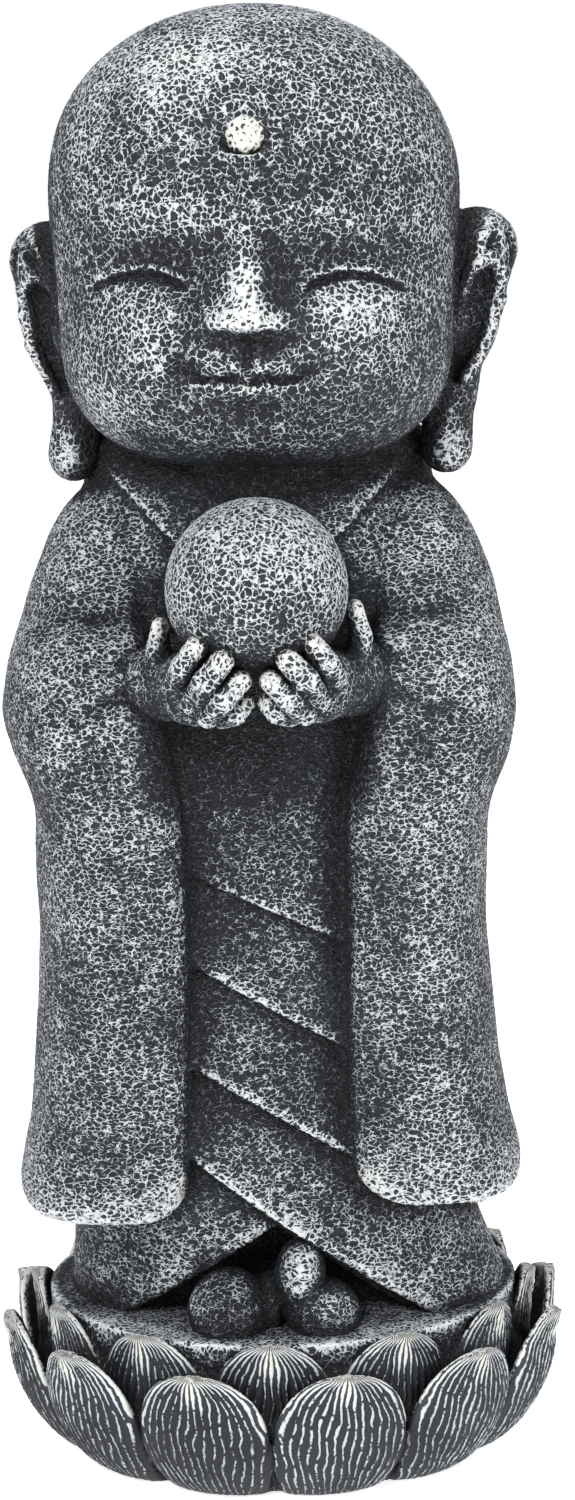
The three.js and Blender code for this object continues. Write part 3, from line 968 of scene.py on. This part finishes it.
class Tree:
    """Places nodes in a shader or geometry tree and links them."""

    def __init__(self, tree):
        self.tree = tree

    def node(self, kind, sockets=(), **settings):
        made = self.tree.nodes.new(kind)
        for name, value in settings.items():
            setattr(made, name, value)
        for name, value in dict(sockets).items():
            socket = made.inputs[name]
            if isinstance(value, bpy.types.NodeSocket):
                self.tree.links.new(value, socket)
            else:
                socket.default_value = value
        return made

    def math(self, operation, *values, clamp=False):
        sockets = dict(enumerate(values))
        return self.node("ShaderNodeMath", sockets, operation=operation, use_clamp=clamp).outputs[0]

    def vector(self, operation, *values):
        return self.node("ShaderNodeVectorMath", dict(enumerate(values)), operation=operation).outputs[0]

    def scale(self, vector, factor):
        return self.node("ShaderNodeVectorMath", {0: vector, "Scale": factor}, operation="SCALE").outputs[0]

    def span(self, value, low, high, to_low=0.0, to_high=1.0):
        """Carries one range onto another, with soft ends."""
        made = self.node("ShaderNodeMapRange", {0: value, 1: low, 2: high, 3: to_low, 4: to_high},
                         interpolation_type="SMOOTHSTEP")
        return made.outputs[0]

    def noise(self, vector, scale, detail=2.0, roughness=0.5):
        return self.node("ShaderNodeTexNoise", {"Vector": vector, "Scale": scale, "Detail": detail,
                                                "Roughness": roughness})

    def edge_gap(self, vector, scale):
        """Distance to the nearest edge of a cell pattern."""
        sockets = {"Vector": vector, "Scale": scale}
        return self.node("ShaderNodeTexVoronoi", sockets, feature="DISTANCE_TO_EDGE").outputs[0]

    def mix_color(self, share, a, b):
        made = self.node("ShaderNodeMix", {0: share, 6: a, 7: b}, data_type="RGBA")
        return made.outputs[2]


BARE_STONE = (0.008, 0.009, 0.012, 1)
DUSTED_STONE = (0.042, 0.046, 0.055, 1)
GREENISH_STONE = (0.026, 0.036, 0.043, 1)
THIN_PAINT = (0.36, 0.39, 0.43, 1)
THICK_PAINT = (0.74, 0.77, 0.79, 1)
CREAM_PAINT = (0.68, 0.67, 0.58, 1)
# Near black laid over recesses as painted shade.
PAINTED_SHADE_COLOUR = (0.008, 0.008, 0.010, 1)


def add_socket(tree, name, kind, direction):
    return tree.interface.new_socket(name=name, in_out=direction, socket_type=kind)


def lay_net(t, place, pitch, squash):
    """The hammered net: height of thin crooked ridges, near 1, round small pits, near 0."""
    metres_to_cells = t.math("DIVIDE", 1 / MM, pitch)
    scaled = t.scale(place, metres_to_cells)
    stretch = t.node("ShaderNodeCombineXYZ", {"X": 1.0, "Y": 1.0, "Z": squash}).outputs[0]
    cells = t.vector("MULTIPLY", scaled, stretch)
    crooked = cells
    for scale, amount in ((0.5, 2.0), (1.9, 0.6)):
        drift = t.vector("SUBTRACT", t.noise(cells, scale, 2.0).outputs["Color"], (0.5,) * 3)
        crooked = t.vector("MULTIPLY_ADD", drift, (amount,) * 3, crooked)
    wide_ridge = t.span(t.edge_gap(crooked, 1.0), 0.0, 0.33, 1.0, 0.0)
    thin_ridge = t.span(t.edge_gap(crooked, 1.75), 0.0, 0.26, 0.8, 0.0)
    patchy = t.span(t.noise(cells, 0.55, 1.0).outputs[0], 0.42, 0.6)
    ridge = t.math("MAXIMUM", wide_ridge, t.math("MULTIPLY", thin_ridge, patchy))
    worn = t.span(t.noise(cells, 0.9, 2.0).outputs[0], 0.3, 0.55, 0.82, 1.0)
    return t.math("MULTIPLY", ridge, worn)


def hammered_group():
    """The net's height as a shader group, so that every stone finish shares it."""
    tree = bpy.data.node_groups.new("hammered net", "ShaderNodeTree")
    add_socket(tree, "Place", "NodeSocketVector", "INPUT")
    add_socket(tree, "Pitch", "NodeSocketFloat", "INPUT")
    add_socket(tree, "Squash", "NodeSocketFloat", "INPUT")
    add_socket(tree, "Height", "NodeSocketFloat", "OUTPUT")
    t = Tree(tree)
    given = t.node("NodeGroupInput").outputs
    height = lay_net(t, given["Place"], given["Pitch"], given["Squash"])
    t.node("NodeGroupOutput", {"Height": height})
    return tree


def drybrush_group():
    """Charcoal stone, with pale paint on all that stands above the level a brush reached down to, and
    painted shade in recesses.
    """
    tree = bpy.data.node_groups.new("drybrushed stone", "ShaderNodeTree")
    for name in ("Height", "Brush", "Cream", "Hollow"):
        add_socket(tree, name, "NodeSocketFloat", "INPUT")
    add_socket(tree, "Place", "NodeSocketVector", "INPUT")
    add_socket(tree, "Color", "NodeSocketColor", "OUTPUT")
    add_socket(tree, "Roughness", "NodeSocketFloat", "OUTPUT")
    t = Tree(tree)
    given = t.node("NodeGroupInput").outputs
    clouds = t.noise(given["Place"], 45.0, 3.0, 0.6).outputs[0]
    tint = t.noise(given["Place"], 24.0, 2.0, 0.5).outputs[0]
    grit = t.noise(given["Place"], 1400.0, 2.0, 0.7).outputs[0]
    reach = t.math("ADD", given["Brush"], t.span(clouds, 0.25, 0.75, -0.1, 0.1))
    reach = t.math("MULTIPLY_ADD", given["Cream"], 0.75, reach, clamp=True)
    level = t.span(reach, 0.0, 1.0, 1.0, 0.3)
    high = t.math("ADD", given["Height"], t.span(grit, 0.2, 0.8, -0.07, 0.07))
    above = t.math("SUBTRACT", high, level)
    painted = t.span(above, -0.08, 0.1)

    ground = t.mix_color(reach, BARE_STONE, DUSTED_STONE)
    ground = t.mix_color(t.span(tint, 0.5, 0.75, 0.0, 0.6), ground, GREENISH_STONE)
    paint = t.mix_color(reach, THIN_PAINT, THICK_PAINT)
    paint = t.mix_color(t.math("MULTIPLY", given["Cream"], 0.85), paint, CREAM_PAINT)
    colour = t.mix_color(painted, ground, paint)
    # Painted shade: recesses are darkened towards near black by the Hollow input.
    colour = t.mix_color(t.math("MULTIPLY", given["Hollow"], 0.72), colour, PAINTED_SHADE_COLOUR)
    rough = t.span(painted, 0.0, 1.0, 0.6, 0.82)
    t.node("NodeGroupOutput", {"Color": colour, "Roughness": rough})
    return tree


HAMMERED = hammered_group()
DRYBRUSHED = drybrush_group()


def relief_tree(name, look):
    """Moves a skin out along its normals by the same net that the stone's colour follows."""
    tree = bpy.data.node_groups.new(name, "GeometryNodeTree")
    add_socket(tree, "Geometry", "NodeSocketGeometry", "INPUT")
    add_socket(tree, "Geometry", "NodeSocketGeometry", "OUTPUT")
    t = Tree(tree)
    given = t.node("NodeGroupInput").outputs
    place = t.node("GeometryNodeInputPosition").outputs[0]
    normal = t.node("GeometryNodeInputNormal").outputs[0]
    rise = lay_net(t, place, look["pitch"], look["squash"])
    amount = t.math("MULTIPLY", t.math("SUBTRACT", rise, 0.4), look["relief"] * MM)
    offset = t.scale(normal, amount)
    moved = t.node("GeometryNodeSetPosition", {"Geometry": given["Geometry"], "Offset": offset}).outputs[0]
    t.node("NodeGroupOutput", {"Geometry": moved})
    return tree


def rib_height(t, place, net):
    """Height of a petal's raised and chipped lines, and of the net off the petals' outer faces."""
    phase = t.node("ShaderNodeAttribute", attribute_name="rib_count").outputs["Fac"]
    on_petal = t.node("ShaderNodeAttribute", attribute_name="petal_face").outputs["Fac"]
    wobble = t.math("MULTIPLY", t.math("SUBTRACT", t.noise(place, 170.0, 3.0, 0.6).outputs[0], 0.5), 0.9)
    turn = t.math("MULTIPLY", t.math("ADD", phase, wobble), 2 * math.pi)
    wave = t.math("MULTIPLY_ADD", t.math("COSINE", turn), 0.5, 0.5)
    chips = t.span(t.noise(place, 420.0, 3.0, 0.65).outputs[0], 0.3, 0.5, 0.55, 1.0)
    line = t.math("MULTIPLY", wave, chips)
    plain = t.math("SUBTRACT", 1.0, on_petal)
    return t.math("ADD", t.math("MULTIPLY", line, on_petal), t.math("MULTIPLY", net, plain))


def stone_material(name, look, ribs):
    """One piece's stone: the net, its paint with painted shade and light, and a fine bump that follows the
    net.
    """
    material = bpy.data.materials.new(name)
    material.use_nodes = True
    material.node_tree.nodes.clear()
    t = Tree(material.node_tree)
    place = t.node("ShaderNodeTexCoord").outputs["Object"]
    net = t.node("ShaderNodeGroup", node_tree=HAMMERED)
    t.tree.links.new(place, net.inputs["Place"])
    net.inputs["Pitch"].default_value = look["pitch"]
    net.inputs["Squash"].default_value = look["squash"]
    height = net.outputs["Height"]
    if ribs:
        height = rib_height(t, place, height)
    paint = t.node("ShaderNodeGroup", node_tree=DRYBRUSHED)
    t.tree.links.new(height, paint.inputs["Height"])
    t.tree.links.new(place, paint.inputs["Place"])
    for mark in ("brush", "cream", "hollow"):
        value = t.node("ShaderNodeAttribute", attribute_name=mark).outputs["Fac"]
        t.tree.links.new(value, paint.inputs[mark.capitalize()])
    bumps = t.node("ShaderNodeBump", {"Height": height, "Strength": 0.8, "Distance": look["bump"] * MM})
    shader = t.node("ShaderNodeBsdfPrincipled", {
        "Base Color": paint.outputs["Color"],
        "Roughness": paint.outputs["Roughness"],
        "Normal": bumps.outputs[0],
        "Specular IOR Level": 0.3,
    })
    t.node("ShaderNodeOutputMaterial", {"Surface": shader.outputs[0]})
    return material


# ---------------------------------------------------------------- pieces

STEPS = dict(head=0.6, robe=0.85, hands=0.5, lotus=0.6)

# Pitch and height squash of the net, height of its relief and bump, and how the brush covers a piece:
# everywhere, on sharp edges, and on broad swells fuller than a flat one; the swells' share is both drybrush
# and painted shade.
LOOKS = dict(
    head=dict(pitch=1.9, squash=1.0, relief=0.4, bump=0.6, brush=0.265, rim=0.14, swell=1.5, flat=0.05),
    robe=dict(pitch=2.0, squash=1.55, relief=0.45, bump=0.7, brush=0.235, rim=0.45, swell=0.6, flat=0.0),
    hands=dict(pitch=1.8, squash=1.0, relief=0.35, bump=0.6, brush=0.33, rim=0.35, swell=0.8, flat=0.12),
    lotus=dict(pitch=1.7, squash=1.0, relief=0.15, bump=0.4, brush=0.26, rim=0.45, swell=0.4, flat=0.05),
)

EDGE_REACH = 3.6  # sizes of what counts as an edge and as a broad swell
SWELL_REACH = 12.0

HEAD_SHIFT = np.array([*HEAD_PLACE, 0.0])
HEAD_TURNED = np.array(Matrix.Rotation(math.radians(HEAD_TURN), 3, "Z"))

# Cream dabs on the head, in its own frame: place, radii, strength. The two high on the left of the
# forehead are denser paint and a painted highlight where the key light falls.
HEAD_DABS = (
    ((0, -62, 325.5), (5.0, 12, 3.6), 0.6),
    ((0, -58, 333), (3.6, 9, 6.0), 0.4),
    ((7.4, -58, 324.5), (3.0, 8, 2.5), 0.35),
    ((-7.4, -58, 324.5), (3.0, 8, 2.5), 0.35),
    # Painted highlight with denser paint, high on the left of the forehead where the key light falls.
    ((-17, -38, 394), (12, 20, 6), 0.35),
    ((-24, -30, 384), (6, 20, 8), 0.3),
    ((-27, -48, 322), (9, 14, 7), 0.2),
    ((31, -48, 326), (11, 14, 7), 0.25),
    ((-39, -42, 300), (6, 14, 9), 0.35),
    ((-1.0, -58, 307.6), (2.0, 8, 1.6), 0.6),
)


def head_marks(points):
    """Cream on the lids, the dot, the ears' ridges and the dabs, two of which are partly a painted
    highlight; the ears are brushed less.
    """
    cream = dabs(points, HEAD_DABS)
    x, y, z = points.T
    on_face = y < -20
    across, level = face_place(x, z)
    lid, _ = line_gap(across, level, eye_line(1.5))
    cream = np.maximum(cream, 0.25 * np.exp(-((lid / 0.8) ** 2)) * on_face)
    cream = np.maximum(cream, 0.95 * smooth(5.4, 4.9, np.hypot(x, z - DOT_HEIGHT)) * on_face)
    for side in SIDES:
        for line, strength in ((ANTIHELIX, 0.3), (HELIX_ROOT, 0.4)):
            path = [ear_point(side, point) for point in line]
            gap, _ = line_gap(x, z, path)
            outside = (y < 4) & (np.abs(x) > 53)
            cream = np.maximum(cream, strength * np.exp(-((gap / 1.2) ** 2)) * outside)
        lobe_x, lobe_z = ear_point(side, (54.5, 288))
        cream = np.maximum(cream, dabs(points, [((lobe_x, -4, lobe_z), (4, 8, 8), 0.2)]))
    return dict(cream=cream, bare_and_painted_shade=0.45 * smooth(54, 57, np.abs(x)))


def hands_marks(points):
    """Cream on the fingertips; the hands are brushed less than most places and the ball more."""
    cream = np.zeros(len(points), dtype=np.float32)
    for side in SIDES:
        for _, joint, tip, radius in FINGERS:
            spots = [(on_hand(side, tip), (radius * 1.1,) * 3, 1.0)]
            cream = np.maximum(cream, np.minimum(dabs(points, spots), 0.6))
            front = [on_hand(side, (x, y - radius, z)) for x, y, z in (joint, tip)]
            cream = np.maximum(cream, strokes(points, front, radius * 0.6, 0.1))
        spots = [(on_hand(side, THUMBS[side][2]), (3.4, 3.4, 3.4), 1.1)]
        cream = np.maximum(cream, np.minimum(dabs(points, spots), 0.9))
    from_ball = np.linalg.norm(points - (SWAY, BALL["y"], BALL["z"]), axis=1) - BALL["radius"]
    on_ball = smooth(1.5, 0.7, from_ball)
    return dict(cream=cream, bare_and_painted_shade=mix(0.2, -0.12, on_ball))


# Cream dabs on the sleeves' inner corners and the toes.
ROBE_DABS = (
    ((SWAY - 24, -50, 84), (4, 6, 6), 0.7),
    ((SWAY + 27, -50, 86), (5, 6, 5), 0.6),
    ((4.8, -56, 58), (3, 8, 5), 0.3),
    ((12, -60, 50), (5, 8, 5), 0.3),
    ((-13, -60, 50), (5, 8, 5), 0.2),
)


def robe_marks(points):
    """The toes are brushed less; the robe between the sleeves gets painted shade, deepest in the recess
    under the hands.
    """
    x, y, z = points.T
    # Painted shade: the robe between the sleeves, and most of all the recess under the hands.
    middle = smooth(36, 24, np.abs(x - SWAY)) * (y < 0)
    recess = middle * smooth(188, 202, z) * smooth(262, 240, z)
    toes = smooth(25, 21, np.abs(x + 2)) * smooth(68, 62, z) * (y < -30)
    bare_and_painted_shade = 0.15 * middle * smooth(84, 92, z) + 0.4 * toes
    return dict(cream=dabs(points, ROBE_DABS), bare_and_painted_shade=bare_and_painted_shade + 0.6 * recess, painted_shade=0.75 * recess)


def crowding(whole, points, normals):
    """How deep in a recess a place lies, 0 in the open and 1 in a deep gap; it sets the painted shade."""
    close, wide, low, step = whole
    ahead = sample_grid(close, low, step, points + normals * 3.0, 0.0)
    around = sample_grid(wide, low, step, points + normals * 7.0, 0.0)
    return np.maximum(smooth(0.23, 0.46, ahead), smooth(0.18, 0.42, around))


def relieved_piece(name, points, quads, look):
    """A piece with the hammered relief in its mesh, within the limit of faces."""
    piece = bpy.data.objects.new(name, mesh_from(name, points, quads))
    bpy.context.scene.collection.objects.link(piece)
    relief = piece.modifiers.new("hammered relief", "NODES")
    relief.node_group = relief_tree(name + " relief", look)
    apply_modifiers(piece)
    triangles = len(piece.data.polygons) * 2
    if triangles > FACE_LIMIT:
        fewer = piece.modifiers.new("fewer faces", "DECIMATE")
        fewer.ratio = FACE_LIMIT / triangles
        apply_modifiers(piece)
    piece.data.polygons.foreach_set("use_smooth", np.ones(len(piece.data.polygons), dtype=bool))
    return piece


def brush_marks(form, look, whole, marks, at, own, normals):
    """How much paint lies at each point: on bulges, edges and upward faces, and little in hollows. The
    bulges and upward faces are partly painted light, and the hollows get painted shade.
    """
    values = marks(own)
    bare_and_painted_shade = values.pop("bare_and_painted_shade")
    edge = roundness(form, own, EDGE_REACH)
    swell = roundness(form, own, SWELL_REACH)
    # Painted shade: recesses, from how closely the statue crowds each point, and the marked recess under
    # the hands.
    hollow = np.maximum(crowding(whole, at, normals), values.pop("painted_shade", 0.0))
    hollow = hollow * (1 + np.minimum(bare_and_painted_shade, 0))
    worn_edge = look["rim"] * smooth(0.14, 0.27, edge) * smooth(0.6, 0.2, hollow)
    worn_edge = worn_edge * np.clip(1 - 3 * bare_and_painted_shade, 0, 1)
    values["cream"] = np.maximum(values["cream"], worn_edge)
    values["hollow"] = hollow
    values["brush"] = (
        look["brush"]
        + look["rim"] * 0.7 * smooth(0.06, 0.2, edge)
        - 0.6 * smooth(-0.02, -0.16, edge)
        # More paint on broad bulges, less in broad dips: drybrush and painted shade.
        + look["swell"] * (swell - look["flat"])
        # More paint on upward faces: drybrush from above and painted top light.
        + 0.12 * normals[:, 2]
        # Painted shade: less paint in recesses.
        - 0.45 * hollow
        # Less paint where marked; on the robe this is painted shade.
        - 0.5 * bare_and_painted_shade
    )
    return values


def build_piece(name, form, look, whole, marks, placed=False):
    """Skins a form, gives it its relief and paint, and puts it in the place of the plain solid."""
    points, quads = skin(form)
    if placed:
        points = points @ HEAD_TURNED.T + HEAD_SHIFT
    piece = relieved_piece(name, points, quads, look)
    mesh = piece.data
    at = points_of(mesh)
    own = (at - HEAD_SHIFT) @ HEAD_TURNED if placed else at
    values = brush_marks(form, look, whole, marks, at, own, normals_of(mesh))
    for mark, numbers in values.items():
        write_mark(mesh, mark, numbers)
    mesh.materials.append(stone_material("stone of the " + name, look, "rib_count" in values))
    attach(piece, "root")
    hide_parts(NODE)


def build_statue():
    """All four pieces; each is painted knowing how closely the others crowd it, which sets its painted
    shade.
    """
    head = head_form(STEPS["head"] * COARSE)
    robe = robe_form(STEPS["robe"] * COARSE)
    hands = hands_form(STEPS["hands"] * COARSE)
    lotus = lotus_form(STEPS["lotus"] * COARSE)
    still = np.zeros(3)
    grid, low, step = whole_fullness([(head, HEAD_SHIFT), (robe, still), (hands, still), (lotus, still)])
    whole = (soften(soften(grid, 2), 2), soften(soften(grid, 4), 4), low, step)
    build_piece("head", head, LOOKS["head"], whole, head_marks, placed=True)
    build_piece("robe_and_sleeves", robe, LOOKS["robe"], whole, robe_marks)
    build_piece("hands_and_ball", hands, LOOKS["hands"], whole, hands_marks)
    build_piece("lotus_base", lotus, LOOKS["lotus"], whole, petal_marks)


# ---------------------------------------------------------------- studio

# Places in metres, angles in degrees, lens in millimetres, powers in watts.
CAMERA = dict(distance=1.0, height=0.36, pitch=-9.08, roll=1.4, lens=84.74, shift_x=0.011667)
LIT_PLACE = (0, 0, 0.22)
LIGHTS = (  # name, place, size, power
    ("key", (-0.55, -1.2, 1.15), 0.6, 17),
    ("fill", (0.95, -0.9, 0.6), 0.8, 6),
    ("top", (0.1, 0.1, 1.4), 0.7, 5),
)
FLOOR_HALF = 6.0


def place_camera():
    data = bpy.data.cameras.new("camera")
    data.sensor_fit = "VERTICAL"
    data.sensor_height = 36.0
    data.lens = CAMERA["lens"]
    data.shift_x = CAMERA["shift_x"]
    data.clip_start = 0.01
    camera = bpy.data.objects.new("camera", data)
    pitch = math.radians(CAMERA["pitch"])
    look = Vector((0.0, math.cos(pitch), math.sin(pitch)))
    roll = Matrix.Rotation(-math.radians(CAMERA["roll"]), 3, "Z")
    pose = (look.to_track_quat("-Z", "Y").to_matrix() @ roll).to_4x4()
    pose.translation = (0.0, -CAMERA["distance"], CAMERA["height"])
    camera.matrix_world = pose
    bpy.context.scene.collection.objects.link(camera)
    bpy.context.scene.camera = camera


def soft_light(name, place, size, power):
    data = bpy.data.lights.new(name, "AREA")
    data.shape = "DISK"
    data.size = size
    data.energy = power
    lamp = bpy.data.objects.new(name, data)
    lamp.location = place
    lamp.rotation_euler = (Vector(LIT_PLACE) - Vector(place)).to_track_quat("-Z", "Y").to_euler()
    bpy.context.scene.collection.objects.link(lamp)


def pale_room():
    """An even white surround; its light on the statue is softer than it looks behind it."""
    world = bpy.data.worlds.new("pale room")
    world.use_nodes = True
    world.node_tree.nodes.clear()
    t = Tree(world.node_tree)
    around = t.node("ShaderNodeBackground", {"Color": (0.95, 0.97, 1.0, 1), "Strength": 0.45}).outputs[0]
    seen = t.node("ShaderNodeBackground", {"Color": (1, 1, 1, 1), "Strength": 1.0}).outputs[0]
    looking = t.node("ShaderNodeLightPath").outputs["Is Camera Ray"]
    both = t.node("ShaderNodeMixShader", {0: looking, 1: around, 2: seen}).outputs[0]
    t.node("ShaderNodeOutputWorld", {"Surface": both})
    return world


def pale_floor():
    mesh = bpy.data.meshes.new("floor")
    corners = [(x * FLOOR_HALF, y * FLOOR_HALF, 0) for x, y in ((-1, -1), (1, -1), (1, 1), (-1, 1))]
    mesh.from_pydata(corners, [], [(0, 1, 2, 3)])
    floor = bpy.data.objects.new("floor", mesh)
    bpy.context.scene.collection.objects.link(floor)
    paper = bpy.data.materials.new("pale floor")
    paper.use_nodes = True
    shader = paper.node_tree.nodes["Principled BSDF"]
    shader.inputs["Base Color"].default_value = (0.9, 0.9, 0.9, 1)
    shader.inputs["Roughness"].default_value = 0.9
    shader.inputs["Emission Color"].default_value = (1, 1, 1, 1)
    shader.inputs["Emission Strength"].default_value = 0.75
    mesh.materials.append(paper)


def build_studio():
    scene = bpy.context.scene
    scene.world = pale_room()
    scene.view_settings.view_transform = "Standard"
    pale_floor()
    for light in LIGHTS:
        soft_light(*light)


build_statue()
place_camera()
build_studio()
